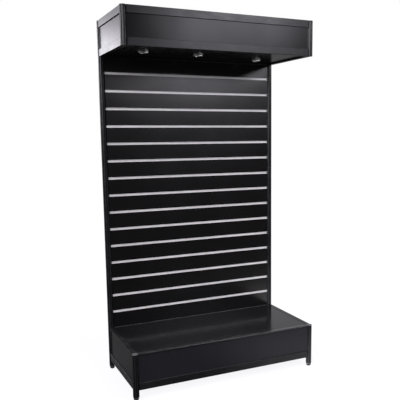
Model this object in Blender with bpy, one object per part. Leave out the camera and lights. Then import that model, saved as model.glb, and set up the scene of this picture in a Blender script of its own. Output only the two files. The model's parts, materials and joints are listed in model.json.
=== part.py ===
"""Free-standing slatwall bay with a plinth and a lit header.

The frame is made of octagonal grooved posts and grooved box beams. A grooved board with fifteen
aluminium inserts stands between the two tall posts. X runs along the width, Y from front to back,
Z up, and the origin is on the floor in the middle of the footprint. All sizes are in metres.
"""

import math

import bmesh
import bpy
from mathutils import Matrix, Vector

# Overall layout
BAY_DEPTH = 0.534
BAY_HEIGHT = 2.042
POST_SPACING = 1.088
BASE_TOP = 0.258
BASE_BOTTOM = 0.056
HEADER_BOTTOM = 1.845
HEADER_SETBACK = 0.024
GAP = 0.0003

# Octagonal post
POST_ACROSS_FLATS = 0.032
GROOVE_MOUTH = 0.0060
GROOVE_LIP = 0.0016
GROOVE_OUTER_WIDTH = 0.0085
GROOVE_INNER_WIDTH = 0.0065
GROOVE_DEPTH = 0.0055
CORE_BORE_R = 0.0044
CORE_STEPS = 12
POST_BOTTOM = 0.016
CAP_THICKNESS = 0.003
CAP_EDGE = 0.001
CAP_PLUG_LENGTH = 0.012

# Box beam
BEAM_THICKNESS = 0.026
BEAM_HEIGHT = 0.040
BEAM_CHAMFER = 0.0012
BEAM_WALL = 0.003
PANEL_SLOT_WIDTH = 0.0046
PANEL_SLOT_DEPTH = 0.008

# Infill panel and boards
PANEL_THICKNESS = 0.014
PANEL_TONGUE = 0.004
SOFFIT_THICKNESS = 0.012
SOFFIT_RECESS = 0.008
SOFFIT_SLOT_DEPTH = 0.0068
DECK_THICKNESS = 0.018
DECK_RECESS = 0.001
RAIL_LIP = 0.006
RAIL_HEIGHT = 0.0233
RAIL_LEDGE = 0.010
RAIL_LEDGE_THICKNESS = 0.004

# Slat board
BOARD_THICKNESS = 0.018
SLAT_COUNT = 15
SLAT_PITCH = 0.100
LOWEST_SLAT = 0.355
SLOT_MOUTH = 0.0110
SLOT_LIP = 0.0045
SLOT_WIDTH = 0.0220
SLOT_DEPTH = 0.0115
INSERT_WALL = 0.0012
INSERT_FLANGE = 0.0010
INSERT_LIP = 0.0010
INSERT_SHORTFALL = 0.002

# Levelling foot
FOOT_STUD_R = 0.0040
FOOT_STUD_TOP = 0.060
FOOT_STUD_CHAMFER = 0.001
FOOT_SOLE_R = 0.0085
FOOT_PAD_R = 0.0150
FOOT_PAD_TOP_R = 0.0135
FOOT_PAD_LOW = 0.0095
FOOT_PAD_HIGH = 0.0130

# Downlight
LAMP_PLACES = ((-0.370, 0.010), (-0.048, 0.016), (0.366, 0.098))
LAMP_HOLE_R = 0.0250
LAMP_BALL_R = 0.0220
LAMP_BALL_RISE = 0.006
LAMP_BALL_STEPS = 7
LAMP_FACE_DROP = 0.013
LAMP_FACE_RECESS = 0.003
LAMP_RIM = 0.0015
LAMP_BODY_R = 0.0150
LAMP_BODY_TOP = 0.032
BEZEL_R = 0.0305
BEZEL_CROWN_R = 0.0225
BEZEL_CROWN_DROP = 0.009
BEZEL_SOCKET_R = 0.0224
BEZEL_SLEEVE_R = 0.0244
BEZEL_HEIGHT = 0.016
BEZEL_STEPS = 5
ROUND_STEPS = 24
SMOOTH_ANGLE = math.radians(35)

# Power supply
DRIVER_LENGTH = 0.160
DRIVER_WIDTH = 0.042
DRIVER_HEIGHT = 0.028
DRIVER_FLANGE = 0.009
DRIVER_FLANGE_THICKNESS = 0.002
DRIVER_X = 0.160
DRIVER_Y = 0.115

# Derived places
POST_R = POST_ACROSS_FLATS / 2
POST_X = POST_SPACING / 2
FRONT_Y = -BAY_DEPTH / 2
BASE_POST_Y = FRONT_Y + POST_R
HEADER_POST_Y = FRONT_Y + HEADER_SETBACK + POST_R
UPRIGHT_Y = BAY_DEPTH / 2 - POST_R
SLAT_FACE_Y = UPRIGHT_Y - BOARD_THICKNESS / 2
BOARD_WIDTH = POST_SPACING - POST_ACROSS_FLATS - 2 * GAP
BOARD_BOTTOM = BASE_TOP + GAP
SOFFIT_Z = HEADER_BOTTOM + SOFFIT_RECESS

# Turns a section drawn in XY so that it is swept along X, with its own X to the back and Y up
SECTION_AXES = Matrix(((0, 0, 1), (1, 0, 0), (0, 1, 0))).to_4x4()


def clear_scene():
    for obj in list(bpy.data.objects):
        bpy.data.objects.remove(obj, do_unlink=True)


def make_material(name, colour, roughness, metallic):
    mat = bpy.data.materials.new(name)
    mat.use_nodes = True
    shader = mat.node_tree.nodes["Principled BSDF"]
    shader.inputs["Base Color"].default_value = (*colour, 1.0)
    shader.inputs["Roughness"].default_value = roughness
    shader.inputs["Metallic"].default_value = metallic
    mat.diffuse_color = (*colour, 1.0)
    return mat


def finish_mesh(bm, name, mat, smooth_angle=None):
    bmesh.ops.recalc_face_normals(bm, faces=bm.faces)
    mesh = bpy.data.meshes.new(name)
    bm.to_mesh(mesh)
    bm.free()
    mesh.materials.append(mat)
    if smooth_angle is not None:
        mesh.shade_smooth()
        mesh.set_sharp_from_angle(angle=smooth_angle)
    return mesh


def add_object(name, mesh, place=Matrix.Identity(4), parent=None):
    obj = bpy.data.objects.new(name, mesh)
    bpy.context.scene.collection.objects.link(obj)
    obj.location = place.translation
    obj.rotation_euler = place.to_euler()
    if parent is not None:
        obj.parent = parent
    return obj


def prism(outline, length, holes=()):
    """Closed solid: a flat outline with optional holes, swept along local +Z."""
    bm = bmesh.new()
    edges = []
    for loop in (outline, *holes):
        verts = [bm.verts.new((x, y, 0.0)) for x, y in loop]
        for here, after in zip(verts, verts[1:] + verts[:1]):
            edges.append(bm.edges.new((here, after)))
    if holes:
        bmesh.ops.triangle_fill(bm, edges=edges, use_beauty=True)
    else:
        bm.faces.new(bm.verts)
    swept = bmesh.ops.extrude_face_region(bm, geom=bm.faces[:], use_keep_orig=True)
    moved = [part for part in swept["geom"] if isinstance(part, bmesh.types.BMVert)]
    bmesh.ops.translate(bm, verts=moved, vec=(0.0, 0.0, length))
    return bm


def revolve(profile, steps, ring=False, start_angle=0.0):
    """Solid of revolution about local Z from (radius, height) points.

    A ring joins the last point to the first; otherwise both ends are closed by flat discs.
    """
    bm = bmesh.new()
    angles = [start_angle + math.tau * i / steps for i in range(steps)]
    rows = [
        [bm.verts.new((r * math.cos(a), r * math.sin(a), z)) for a in angles]
        for r, z in profile
    ]
    bands = list(zip(rows, rows[1:]))
    if ring:
        bands.append((rows[-1], rows[0]))
    else:
        bm.faces.new(rows[0])
        bm.faces.new(rows[-1])
    for here, after in bands:
        for i in range(steps):
            j = (i + 1) % steps
            bm.faces.new((here[i], here[j], after[j], after[i]))
    return bm


def arc(radius, low, high, steps, centre_z=0.0):
    """Points of an arc in the (radius, height) plane, centred on the axis."""
    angles = [low + (high - low) * i / steps for i in range(steps + 1)]
    return [(radius * math.cos(a), centre_z + radius * math.sin(a)) for a in angles]


def circle(radius, steps, centre=(0.0, 0.0)):
    """Points of a regular polygon whose corners lie on the circle."""
    cx, cy = centre
    angles = [math.tau * (i + 0.5) / steps for i in range(steps)]
    return [(cx + radius * math.cos(a), cy + radius * math.sin(a)) for a in angles]


def rectangle(x0, y0, x1, y1):
    return [(x0, y0), (x1, y0), (x1, y1), (x0, y1)]


# Places around a rectangular frame


def side_place(side, front_y, back_y, z, inset):
    """Start of one frame side. Local X points inward, Y up and Z along the side.

    Side 0 is the front, 1 the right, 2 the rear and 3 the left.
    """
    corners = [(-POST_X, front_y), (POST_X, front_y), (POST_X, back_y), (-POST_X, back_y)]
    along = [Vector((1, 0, 0)), Vector((0, 1, 0)), Vector((-1, 0, 0)), Vector((0, -1, 0))][side]
    start = Vector((*corners[side], z)) + along * inset
    turned = Matrix.Rotation(side * math.pi / 2, 4, "Z") @ SECTION_AXES
    return Matrix.Translation(start) @ turned


def side_length(side, front_y, back_y, inset):
    span = POST_SPACING if side in (0, 2) else back_y - front_y
    return span - 2 * inset


SIDE_NAMES = ("front", "right", "rear", "left")


# Cross sections


def post_section():
    """Octagon with an undercut groove in the middle of each flat."""
    half_flat = POST_R * math.tan(math.pi / 8)
    groove = [
        (POST_R, -GROOVE_MOUTH / 2),
        (POST_R - GROOVE_LIP, -GROOVE_MOUTH / 2),
        (POST_R - GROOVE_LIP, -GROOVE_OUTER_WIDTH / 2),
        (POST_R - GROOVE_DEPTH, -GROOVE_INNER_WIDTH / 2),
    ]
    mirrored = [(r, -s) for r, s in reversed(groove)]
    flat = [(POST_R, -half_flat)] + groove + mirrored
    points = []
    for k in range(8):
        c = math.cos(k * math.pi / 4)
        s = math.sin(k * math.pi / 4)
        points += [(c * r - s * t, s * r + c * t) for r, t in flat]
    return points


def beam_outline(panel_slot_on_top, soffit_slot=False):
    """Beam section: X inward from the frame line, Y up from the beam's underside."""
    half = BEAM_THICKNESS / 2
    c = BEAM_CHAMFER
    slot = PANEL_SLOT_WIDTH / 2
    points = [(-half, c), (-half + c, 0.0)]
    if not panel_slot_on_top:
        points += [(-slot, 0.0), (-slot, PANEL_SLOT_DEPTH), (slot, PANEL_SLOT_DEPTH), (slot, 0.0)]
    points += [(half - c, 0.0), (half, c)]
    if soffit_slot:
        low = SOFFIT_RECESS - GAP
        high = SOFFIT_RECESS + SOFFIT_THICKNESS + GAP
        deep = half - SOFFIT_SLOT_DEPTH
        points += [(half, low), (deep, low), (deep, high), (half, high)]
    points += [(half, BEAM_HEIGHT - c), (half - c, BEAM_HEIGHT)]
    if panel_slot_on_top:
        floor = BEAM_HEIGHT - PANEL_SLOT_DEPTH
        points += [(slot, BEAM_HEIGHT), (slot, floor), (-slot, floor), (-slot, BEAM_HEIGHT)]
    points += [(-half + c, BEAM_HEIGHT), (-half, BEAM_HEIGHT - c)]
    return points


def beam_cavity(panel_slot_on_top, soffit_slot=False):
    half = BEAM_THICKNESS / 2 - BEAM_WALL
    inner = half - SOFFIT_SLOT_DEPTH if soffit_slot else half
    low = BEAM_WALL if panel_slot_on_top else PANEL_SLOT_DEPTH + BEAM_WALL
    high = BEAM_HEIGHT - (PANEL_SLOT_DEPTH + BEAM_WALL if panel_slot_on_top else BEAM_WALL)
    return rectangle(-half, low, inner, high)


def rail_outline(has_ledge):
    """Deck rail: a strip over the panel's edge, a web, and perhaps a ledge under the deck."""
    half = BEAM_THICKNESS / 2
    c = BEAM_CHAMFER
    web = PANEL_THICKNESS / 2 + GAP
    ledge_top = -RAIL_HEIGHT + RAIL_LEDGE_THICKNESS
    ledge = [
        (half + RAIL_LEDGE, -RAIL_HEIGHT),
        (half + RAIL_LEDGE, ledge_top),
        (half, ledge_top),
    ]
    inner = ledge if has_ledge else [(half, -RAIL_HEIGHT)]
    start = [(-half, -RAIL_LIP), (web, -RAIL_LIP), (web, -RAIL_HEIGHT)]
    return start + inner + [(half, 0.0), (-half + c, 0.0), (-half, -c)]


def panel_outline(height, tongues):
    """Panel section: X across the panel, Y up from its body's lower edge.

    The lower edge always has a tongue, and the upper edge has one when there are two tongues.
    """
    half = PANEL_THICKNESS / 2
    tongue = PANEL_TONGUE / 2
    reach = PANEL_SLOT_DEPTH - GAP
    points = [(-half, 0.0), (-tongue, 0.0), (-tongue, -reach), (tongue, -reach), (tongue, 0.0)]
    points += [(half, 0.0), (half, height)]
    if tongues == 2:
        top = height + reach
        points += [(tongue, height), (tongue, top), (-tongue, top), (-tongue, height)]
    return points + [(-half, height)]


def notched_outline(half_x, front, back, notch):
    """Rectangle with a square notch cut from each corner for the posts."""
    side = half_x - notch
    right = [
        (side, front),
        (side, front + notch),
        (half_x, front + notch),
        (half_x, back - notch),
        (side, back - notch),
        (side, back),
    ]
    left = [(-x, y) for x, y in reversed(right)]
    return right + left


def slat_board_outline():
    """Board section: X from the face to the back, Y up from the lower edge."""
    height = HEADER_BOTTOM - GAP - BOARD_BOTTOM
    half_mouth = SLOT_MOUTH / 2
    half_slot = SLOT_WIDTH / 2
    face = []
    for i in range(SLAT_COUNT):
        y = LOWEST_SLAT - BOARD_BOTTOM + i * SLAT_PITCH
        face += [
            (0.0, y - half_mouth),
            (SLOT_LIP, y - half_mouth),
            (SLOT_LIP, y - half_slot),
            (SLOT_DEPTH, y - half_slot),
            (SLOT_DEPTH, y + half_slot),
            (SLOT_LIP, y + half_slot),
            (SLOT_LIP, y + half_mouth),
            (0.0, y + half_mouth),
        ]
    ends = [(0.0, height), (BOARD_THICKNESS, height), (BOARD_THICKNESS, 0.0), (0.0, 0.0)]
    return face + ends


def insert_outline():
    """Channel section that lines one groove, with a flange on each side of the mouth."""
    wall = INSERT_WALL
    neck = SLOT_MOUTH / 2 - GAP
    mouth = neck - wall
    flange = neck + INSERT_FLANGE
    belly = SLOT_WIDTH / 2 - GAP
    shoulder = SLOT_LIP + GAP
    web = SLOT_DEPTH - GAP
    upper = [
        (shoulder + wall, mouth),
        (-GAP - INSERT_LIP, mouth),
        (-GAP - INSERT_LIP, flange),
        (-GAP, flange),
        (-GAP, neck),
        (shoulder, neck),
        (shoulder, belly),
        (web, belly),
    ]
    lower = [(x, -y) for x, y in reversed(upper)]
    inside = belly - wall
    hollow = [
        (shoulder + wall, -inside),
        (web - wall, -inside),
        (web - wall, inside),
        (shoulder + wall, inside),
    ]
    return upper + lower + hollow


# Sub-assemblies


def build_posts(mats):
    section = post_section()
    bore = [circle(CORE_BORE_R, CORE_STEPS)]
    posts = [
        ("upright", UPRIGHT_Y, POST_BOTTOM, BAY_HEIGHT),
        ("base_post", BASE_POST_Y, POST_BOTTOM, BASE_TOP),
        ("header_post", HEADER_POST_Y, HEADER_BOTTOM, BAY_HEIGHT),
    ]
    for name, y, low, top in posts:
        length = top - CAP_THICKNESS - GAP - low
        mesh = finish_mesh(prism(section, length, bore), name, mats["frame"])
        for side, x in (("left", -POST_X), ("right", POST_X)):
            add_object(f"{name}_{side}", mesh, Matrix.Translation((x, y, low)))


def build_base_caps(mats):
    """Plugs for the plinth posts, flush with the deck rails."""
    corner_r = POST_R / math.cos(math.pi / 8)
    plug_r = CORE_BORE_R - 2 * GAP
    profile = [
        (corner_r - CAP_EDGE, 0.0),
        (corner_r, -CAP_EDGE),
        (corner_r, -CAP_THICKNESS),
        (plug_r, -CAP_THICKNESS),
        (plug_r, -CAP_THICKNESS - CAP_PLUG_LENGTH),
    ]
    mesh = finish_mesh(revolve(profile, 8, start_angle=math.pi / 8), "base_cap", mats["cap"])
    for side, x in (("left", -POST_X), ("right", POST_X)):
        add_object(f"base_cap_{side}", mesh, Matrix.Translation((x, BASE_POST_Y, BASE_TOP)))


def build_feet(mats):
    """Rubber-padded levelling feet. Each turns up and down in its post's tapped core."""
    top = POST_BOTTOM - GAP
    profile = [
        (FOOT_SOLE_R, 0.0),
        (FOOT_PAD_R, FOOT_PAD_LOW),
        (FOOT_PAD_R, FOOT_PAD_HIGH),
        (FOOT_PAD_TOP_R, top),
        (FOOT_STUD_R, top),
        (FOOT_STUD_R, FOOT_STUD_TOP - FOOT_STUD_CHAMFER),
        (FOOT_STUD_R - FOOT_STUD_CHAMFER, FOOT_STUD_TOP),
    ]
    mesh = finish_mesh(revolve(profile, ROUND_STEPS), "foot", mats["rubber"], SMOOTH_ANGLE)
    for row, y in (("front", BASE_POST_Y), ("rear", UPRIGHT_Y)):
        for side, x in (("left", -POST_X), ("right", POST_X)):
            add_object(f"foot_{row}_{side}", mesh, Matrix.Translation((x, y, 0.0)))


def build_ring(name, outlines, holes, front_y, back_y, z, mat):
    """Four members around a rectangular frame, butted against the posts.

    The two outlines are taken in turn: front and rear, then left and right.
    """
    inset = POST_R + GAP
    for side, word in enumerate(SIDE_NAMES):
        length = side_length(side, front_y, back_y, inset)
        mesh = finish_mesh(prism(outlines[side % 2], length, holes), f"{name}_{word}", mat)
        add_object(f"{name}_{word}", mesh, side_place(side, front_y, back_y, z, inset))


def build_frame(mats):
    frame = mats["frame"]
    base = (BASE_POST_Y, UPRIGHT_Y)
    header = (HEADER_POST_Y, UPRIGHT_Y)
    base_beams = [beam_outline(True)] * 2
    rails = [rail_outline(True), rail_outline(False)]
    lower_beams = [beam_outline(True, True)] * 2
    upper_beams = [beam_outline(False)] * 2
    upper_z = BAY_HEIGHT - BEAM_HEIGHT
    build_ring("base_beam", base_beams, [beam_cavity(True)], *base, BASE_BOTTOM, frame)
    build_ring("base_rail", rails, [], *base, BASE_TOP, frame)
    cavity = [beam_cavity(True, True)]
    build_ring("header_lower_beam", lower_beams, cavity, *header, HEADER_BOTTOM, frame)
    build_ring("header_upper_beam", upper_beams, [beam_cavity(False)], *header, upper_z, frame)


def build_panel(name, side, front_y, back_y, low, high, tongues, mat):
    """Infill panel between two posts, with tongues in the slots of the beams."""
    inset = POST_R + GAP
    length = side_length(side, front_y, back_y, inset)
    mesh = finish_mesh(prism(panel_outline(high - low, tongues), length), name, mat)
    add_object(name, mesh, side_place(side, front_y, back_y, low, inset))


def build_panels(mats):
    base_low = BASE_BOTTOM + BEAM_HEIGHT + GAP
    base_high = BASE_TOP - RAIL_LIP - GAP
    base = (BASE_POST_Y, UPRIGHT_Y, base_low, base_high, 1, mats["panel"])
    build_panel("base_panel_front", 0, *base)
    build_panel("base_panel_right", 1, *base)
    build_panel("base_panel_left", 3, *base)
    header_low = HEADER_BOTTOM + BEAM_HEIGHT + GAP
    header_high = BAY_HEIGHT - BEAM_HEIGHT - GAP
    header = (HEADER_POST_Y, UPRIGHT_Y, header_low, header_high, 2, mats["panel"])
    build_panel("header_fascia", 0, *header)
    build_panel("header_panel_right", 1, *header)
    build_panel("header_panel_rear", 2, *header)
    build_panel("header_panel_left", 3, *header)


def build_boards(mats):
    beam_half = BEAM_THICKNESS / 2
    clear = POST_R + 2 * GAP
    edge = beam_half + GAP
    outline = notched_outline(
        POST_X - edge, BASE_POST_Y + edge, UPRIGHT_Y - edge, clear - edge
    )
    mesh = finish_mesh(prism(outline, DECK_THICKNESS), "deck_board", mats["laminate"])
    deck_bottom = BASE_TOP - DECK_RECESS - DECK_THICKNESS
    add_object("deck_board", mesh, Matrix.Translation((0, 0, deck_bottom)))

    edge = beam_half - SOFFIT_SLOT_DEPTH + GAP
    outline = notched_outline(
        POST_X - edge, HEADER_POST_Y + edge, UPRIGHT_Y - edge, clear - edge
    )
    holes = [circle(LAMP_HOLE_R, ROUND_STEPS, place) for place in LAMP_PLACES]
    mesh = finish_mesh(prism(outline, SOFFIT_THICKNESS, holes), "soffit_board", mats["laminate"])
    add_object("soffit_board", mesh, Matrix.Translation((0, 0, SOFFIT_Z)))


def build_slatwall(mats):
    mesh = finish_mesh(prism(slat_board_outline(), BOARD_WIDTH), "slat_board", mats["laminate"])
    corner = Vector((-BOARD_WIDTH / 2, SLAT_FACE_Y, BOARD_BOTTOM))
    add_object("slat_board", mesh, Matrix.Translation(corner) @ SECTION_AXES)
    length = BOARD_WIDTH - INSERT_SHORTFALL
    mesh = finish_mesh(prism(insert_outline(), length), "slat_insert", mats["aluminium"])
    for i in range(SLAT_COUNT):
        place = Vector((-length / 2, SLAT_FACE_Y, LOWEST_SLAT + i * SLAT_PITCH))
        add_object(f"slat_insert_{i + 1:02d}", mesh, Matrix.Translation(place) @ SECTION_AXES)


def lamp_profile():
    """Truncated ball with a recessed face below and a heat-sink body above its centre."""
    low = -math.asin(LAMP_FACE_DROP / LAMP_BALL_R)
    high = math.acos(LAMP_BODY_R / LAMP_BALL_R)
    rim_r = LAMP_BALL_R * math.cos(low) - LAMP_RIM
    return [
        (rim_r - LAMP_RIM, -LAMP_FACE_DROP + LAMP_FACE_RECESS),
        (rim_r, -LAMP_FACE_DROP),
        *arc(LAMP_BALL_R, low, high, LAMP_BALL_STEPS),
        (LAMP_BODY_R, LAMP_BODY_TOP),
    ]


def bezel_profile():
    """Ring with a rounded crown below the soffit, a ball socket and a sleeve in the hole."""
    crown = []
    for i in range(BEZEL_STEPS + 1):
        a = math.pi / 2 * i / BEZEL_STEPS
        r = BEZEL_CROWN_R + (BEZEL_R - BEZEL_CROWN_R) * math.cos(a)
        crown.append((r, -GAP - (BEZEL_CROWN_DROP - GAP) * math.sin(a)))
    low = -math.asin((LAMP_BALL_RISE + BEZEL_CROWN_DROP) / BEZEL_SOCKET_R)
    socket = arc(BEZEL_SOCKET_R, low, 0.0, BEZEL_STEPS, LAMP_BALL_RISE)
    sleeve = [
        (BEZEL_SOCKET_R, BEZEL_HEIGHT),
        (BEZEL_SLEEVE_R, BEZEL_HEIGHT),
        (BEZEL_SLEEVE_R, -GAP),
    ]
    return crown + socket + sleeve


def build_downlights(mats):
    """Eyeball lamps. Each lamp's origin is the ball's centre, on its tilt axis along X."""
    turn = math.pi / ROUND_STEPS
    bm = revolve(bezel_profile(), ROUND_STEPS, ring=True, start_angle=turn)
    bezel = finish_mesh(bm, "downlight_bezel", mats["chrome"], SMOOTH_ANGLE)
    bm = revolve(lamp_profile(), ROUND_STEPS, start_angle=turn)
    lamp = finish_mesh(bm, "downlight_lamp", mats["chrome"], SMOOTH_ANGLE)
    for i, (x, y) in enumerate(LAMP_PLACES, start=1):
        place = Matrix.Translation((x, y, SOFFIT_Z))
        ring = add_object(f"downlight_bezel_{i}", bezel, place)
        centre = Matrix.Translation((0.0, 0.0, LAMP_BALL_RISE))
        add_object(f"downlight_lamp_{i}", lamp, centre, parent=ring)


def build_driver(mats):
    """Power supply with a screw flange on each long side, lying on the soffit board."""
    half = DRIVER_WIDTH / 2
    t = DRIVER_FLANGE_THICKNESS
    outline = [
        (-half - DRIVER_FLANGE, 0.0),
        (half + DRIVER_FLANGE, 0.0),
        (half + DRIVER_FLANGE, t),
        (half, t),
        (half, DRIVER_HEIGHT),
        (-half, DRIVER_HEIGHT),
        (-half, t),
        (-half - DRIVER_FLANGE, t),
    ]
    floor = SOFFIT_Z + SOFFIT_THICKNESS + GAP
    start = Vector((DRIVER_X - DRIVER_LENGTH / 2, DRIVER_Y, floor))
    mesh = finish_mesh(prism(outline, DRIVER_LENGTH), "led_driver", mats["driver"])
    add_object("led_driver", mesh, Matrix.Translation(start) @ SECTION_AXES)


def main():
    clear_scene()
    mats = {
        "frame": make_material("black_anodised_aluminium", (0.022, 0.022, 0.025), 0.32, 0.6),
        "panel": make_material("black_foil_panel", (0.018, 0.018, 0.020), 0.35, 0.0),
        "laminate": make_material("black_laminate_board", (0.012, 0.012, 0.013), 0.38, 0.0),
        "aluminium": make_material("satin_aluminium", (0.78, 0.77, 0.76), 0.30, 1.0),
        "cap": make_material("grey_plastic_cap", (0.45, 0.45, 0.46), 0.45, 0.0),
        "rubber": make_material("black_rubber", (0.015, 0.015, 0.015), 0.75, 0.0),
        "chrome": make_material("satin_chrome", (0.70, 0.70, 0.70), 0.18, 1.0),
        "driver": make_material("white_plastic", (0.75, 0.75, 0.73), 0.50, 0.0),
    }
    build_posts(mats)
    build_base_caps(mats)
    build_feet(mats)
    build_frame(mats)
    build_panels(mats)
    build_boards(mats)
    build_slatwall(mats)
    build_downlights(mats)
    build_driver(mats)


main()
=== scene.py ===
"""Looks of the free-standing slatwall bay: finishes, lamps, feet, caps, screws and wiring.

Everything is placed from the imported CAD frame, in metres, with +Z up and the front towards -Y.
"""

import json
import math

import bmesh
import bpy
from mathutils import Matrix, Vector


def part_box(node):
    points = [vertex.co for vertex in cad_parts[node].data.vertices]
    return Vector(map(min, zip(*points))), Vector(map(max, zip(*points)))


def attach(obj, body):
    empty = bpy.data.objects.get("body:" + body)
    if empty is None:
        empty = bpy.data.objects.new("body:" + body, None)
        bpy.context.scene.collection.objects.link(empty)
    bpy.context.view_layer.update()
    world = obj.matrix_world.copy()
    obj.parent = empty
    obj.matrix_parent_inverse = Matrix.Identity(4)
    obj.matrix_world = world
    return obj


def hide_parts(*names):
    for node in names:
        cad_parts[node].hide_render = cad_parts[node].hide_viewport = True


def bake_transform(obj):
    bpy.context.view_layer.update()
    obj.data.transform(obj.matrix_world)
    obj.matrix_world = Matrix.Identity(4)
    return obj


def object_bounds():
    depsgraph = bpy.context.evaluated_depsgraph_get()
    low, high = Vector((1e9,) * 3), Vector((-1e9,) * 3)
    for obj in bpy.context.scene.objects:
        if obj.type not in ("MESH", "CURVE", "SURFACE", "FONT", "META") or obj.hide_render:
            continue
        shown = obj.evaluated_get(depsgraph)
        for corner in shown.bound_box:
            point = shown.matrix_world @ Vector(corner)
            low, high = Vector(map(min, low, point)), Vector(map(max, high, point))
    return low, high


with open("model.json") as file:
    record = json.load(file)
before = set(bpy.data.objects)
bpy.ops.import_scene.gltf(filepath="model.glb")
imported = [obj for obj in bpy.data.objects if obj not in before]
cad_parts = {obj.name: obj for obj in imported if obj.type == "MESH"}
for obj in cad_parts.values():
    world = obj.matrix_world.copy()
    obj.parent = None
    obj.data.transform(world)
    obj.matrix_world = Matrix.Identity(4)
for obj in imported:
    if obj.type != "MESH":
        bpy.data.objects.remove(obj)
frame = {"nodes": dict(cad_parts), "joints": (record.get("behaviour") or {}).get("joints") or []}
cad_low, cad_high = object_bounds()

BAY = "bay"
SIDES = ("left", "right")
RING_WORDS = ("front", "right", "rear", "left")
RINGS = ("base_beam", "base_rail", "header_lower_beam", "header_upper_beam")
LAMP_NUMBERS = (1, 2, 3)
MM = 0.001
# Clearance between a piece and the CAD face that it sits on.
SEAT_GAP = 0.3 * MM


# ---------------------------------------------------------------- mesh helpers


def new_object(name, bm, mat, place=Matrix.Identity(4), smooth_angle=40.0, body=BAY):
    """Turns a bmesh into a named piece in the row frame, shaded by angle, riding on a body."""
    bmesh.ops.remove_doubles(bm, verts=bm.verts, dist=1e-6)
    bmesh.ops.recalc_face_normals(bm, faces=bm.faces)
    mesh = bpy.data.meshes.new(name)
    bm.to_mesh(mesh)
    bm.free()
    mesh.transform(place)
    mesh.materials.append(mat)
    mesh.shade_smooth()
    mesh.set_sharp_from_angle(angle=math.radians(smooth_angle))
    obj = bpy.data.objects.new(name, mesh)
    bpy.context.scene.collection.objects.link(obj)
    if body is not None:
        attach(obj, body)
    return obj


def add_bevel(obj, width, segments=2, angle=38.0):
    """Rounds sharp edges without touching the mesh itself."""
    weld = obj.modifiers.new("Weld", "WELD")
    weld.merge_threshold = 0.00002
    bevel = obj.modifiers.new("Bevel", "BEVEL")
    bevel.width = width
    bevel.segments = segments
    bevel.limit_method = "ANGLE"
    bevel.angle_limit = math.radians(angle)
    bevel.miter_outer = "MITER_ARC"
    normals = obj.modifiers.new("WeightedNormal", "WEIGHTED_NORMAL")
    normals.weight = 90
    normals.keep_sharp = False


def prism(outline, length, holes=(), bm=None, place=Matrix.Identity(4)):
    """A flat outline with optional holes swept along local +Z, added to bm."""
    bm = bm or bmesh.new()
    edges = []
    for loop in (outline, *holes):
        verts = [bm.verts.new((x, y, 0.0)) for x, y in loop]
        edges += [bm.edges.new(pair) for pair in zip(verts, verts[1:] + verts[:1])]
    filled = bmesh.ops.triangle_fill(bm, edges=edges, use_beauty=True)
    faces = [g for g in filled["geom"] if isinstance(g, bmesh.types.BMFace)]
    swept = bmesh.ops.extrude_face_region(bm, geom=faces, use_keep_orig=True)
    moved = [g for g in swept["geom"] if isinstance(g, bmesh.types.BMVert)]
    bmesh.ops.translate(bm, verts=moved, vec=(0.0, 0.0, length))
    start = {v for f in faces for v in f.verts}
    bmesh.ops.transform(bm, matrix=place, verts=list(start) + moved)
    return bm


def revolve(profile, steps, closed=False, bm=None, place=Matrix.Identity(4), start=0.0):
    """(radius, height) points turned about local Z, added to bm."""
    bm = bm or bmesh.new()
    rings = []
    for r, z in profile:
        count = 1 if r < 1e-9 else steps
        angles = [start + math.tau * k / steps for k in range(count)]
        points = [place @ Vector((r * math.cos(a), r * math.sin(a), z)) for a in angles]
        rings.append([bm.verts.new(p) for p in points])
    pairs = list(zip(rings, rings[1:]))
    if closed:
        pairs.append((rings[-1], rings[0]))
    for low, high in pairs:
        for k in range(steps):
            after = (k + 1) % steps
            corners = [low[k % len(low)], low[after % len(low)]]
            corners += [high[after % len(high)], high[k % len(high)]]
            corners = list(dict.fromkeys(corners))
            if len(corners) > 2:
                bm.faces.new(corners)
    return bm


def tube(points, radius, steps=10):
    """A closed round tube along a smooth path through the points."""
    path = smooth_path(points, 8)
    bm = bmesh.new()
    side = Vector((0, 0, 1)).cross(path[1] - path[0]).normalized()
    rings = []
    for i, p in enumerate(path):
        ahead = path[min(i + 1, len(path) - 1)] - path[max(i - 1, 0)]
        along = ahead.normalized()
        side = (side - along * side.dot(along)).normalized()
        up = along.cross(side)
        turns = [math.tau * k / steps for k in range(steps)]
        rings.append([
            bm.verts.new(p + (side * math.cos(t) + up * math.sin(t)) * radius) for t in turns
        ])
    for low, high in zip(rings, rings[1:]):
        for k in range(steps):
            after = (k + 1) % steps
            bm.faces.new((low[k], low[after], high[after], high[k]))
    bm.faces.new(rings[0])
    bm.faces.new(rings[-1])
    return bm


def smooth_path(points, steps):
    """Catmull-Rom curve through the points."""
    pts = [Vector(p) for p in points]
    pts = [2 * pts[0] - pts[1]] + pts + [2 * pts[-1] - pts[-2]]
    path = []
    for a, b, c, d in zip(pts, pts[1:], pts[2:], pts[3:]):
        for k in range(steps):
            t = k / steps
            path.append(0.5 * (
                2 * b + (c - a) * t + (2 * a - 5 * b + 4 * c - d) * t * t
                + (3 * b - a - 3 * c + d) * t ** 3
            ))
    path.append(pts[-2])
    return path


def arc(cx, cy, r, a0, a1, steps):
    """Points on a circle from a0 to a1 degrees, both ends included."""
    angles = [math.radians(a0 + (a1 - a0) * k / steps) for k in range(steps + 1)]
    return [(cx + r * math.cos(a), cy + r * math.sin(a)) for a in angles]


def polygon(radius, corners, start=0.0):
    angles = [start + math.tau * k / corners for k in range(corners)]
    return [(radius * math.cos(a), radius * math.sin(a)) for a in angles]


def rounded_rectangle(x0, y0, x1, y1, r, steps=4):
    return (
        arc(x1 - r, y1 - r, r, 0, 90, steps) + arc(x0 + r, y1 - r, r, 90, 180, steps)
        + arc(x0 + r, y0 + r, r, 180, 270, steps) + arc(x1 - r, y0 + r, r, 270, 360, steps)
    )


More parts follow.
